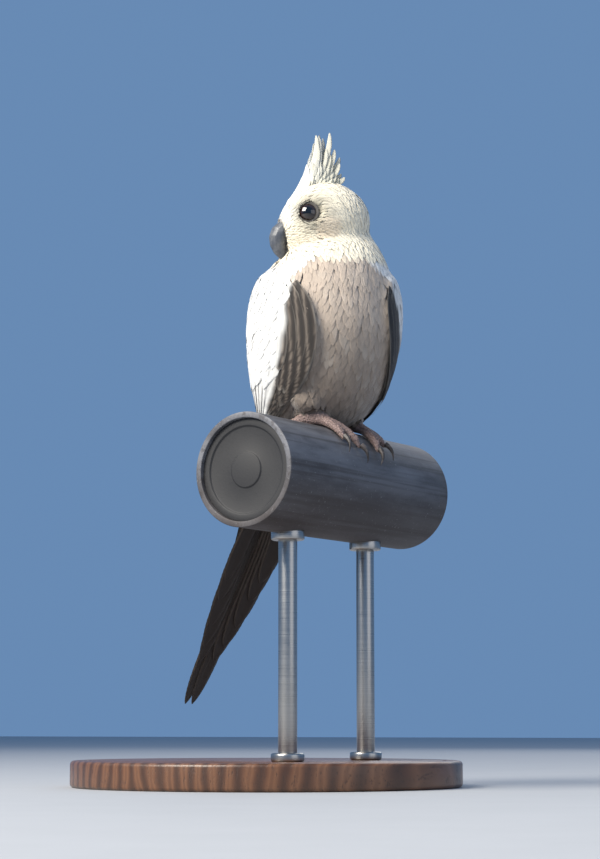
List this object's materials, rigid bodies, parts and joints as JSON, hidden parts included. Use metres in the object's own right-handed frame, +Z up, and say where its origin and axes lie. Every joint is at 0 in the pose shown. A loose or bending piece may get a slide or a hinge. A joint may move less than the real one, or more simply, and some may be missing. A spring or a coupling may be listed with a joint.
{
  "type": "life-size still model of a cockatiel on a perch",
  "caption": "Life-size still model of a cockatiel perched on a short length of round steel rail, its head turned over its right shoulder, on a round display stand",
  "frame": {"origin": "middle of the underside of the stand's round base, on the surface that it stands on, which is also the middle of the underside of the whole model's box", "axes": "+Z up; the perch rail lies along X; the bird's feet point along -Y, its chest between -Y and -X, its face towards -X and a little +Y, and its tail runs down towards +Y and +X"},
  "size_m": [0.15, 0.15, 0.2542],
  "materials": {
    "cream_feathers": "soft, matt cream feathers of head, hood and crest",
    "fawn_feathers": "soft, matt warm taupe body feathers",
    "white_wing": "smooth, matt wing feathers with a broad white patch",
    "brown_feathers": "smooth, dark brown-grey tail feathers",
    "bill_horn": "grey horn, half matt",
    "claw_horn": "dark horn",
    "foot_skin": "scaly greyish-pink skin",
    "eye": "wet gloss, dark brown",
    "galvanised": "weathered galvanised steel",
    "plug_rubber": "matt black",
    "walnut": "oiled dark walnut",
    "steel": "bright rod"
  },
  "bodies": {
    "root": {"bill_lower": "bill_horn", "bill_upper": "bill_horn", "claw_hallux_left": "claw_horn", "claw_hallux_right": "claw_horn", "claw_inner_left": "claw_horn", "claw_inner_right": "claw_horn", "claw_outer_left": "claw_horn", "claw_outer_right": "claw_horn", "claw_rear_left": "claw_horn", "claw_rear_right": "claw_horn", "crest": "cream_feathers", "eye_left": "eye", "eye_right": "eye", "foot_left": "foot_skin", "foot_right": "foot_skin", "head": "cream_feathers", "neck": "cream_feathers", "perch_plug_left": "plug_rubber", "perch_plug_right": "plug_rubber", "perch_rail": "galvanised", "stand_base": "walnut", "stand_rod_left": "steel", "stand_rod_right": "steel", "tail": "brown_feathers", "thigh_left": "fawn_feathers", "thigh_right": "fawn_feathers", "trunk": "fawn_feathers", "wing_left": "white_wing", "wing_right": "white_wing"}
  },
  "joints": []
}
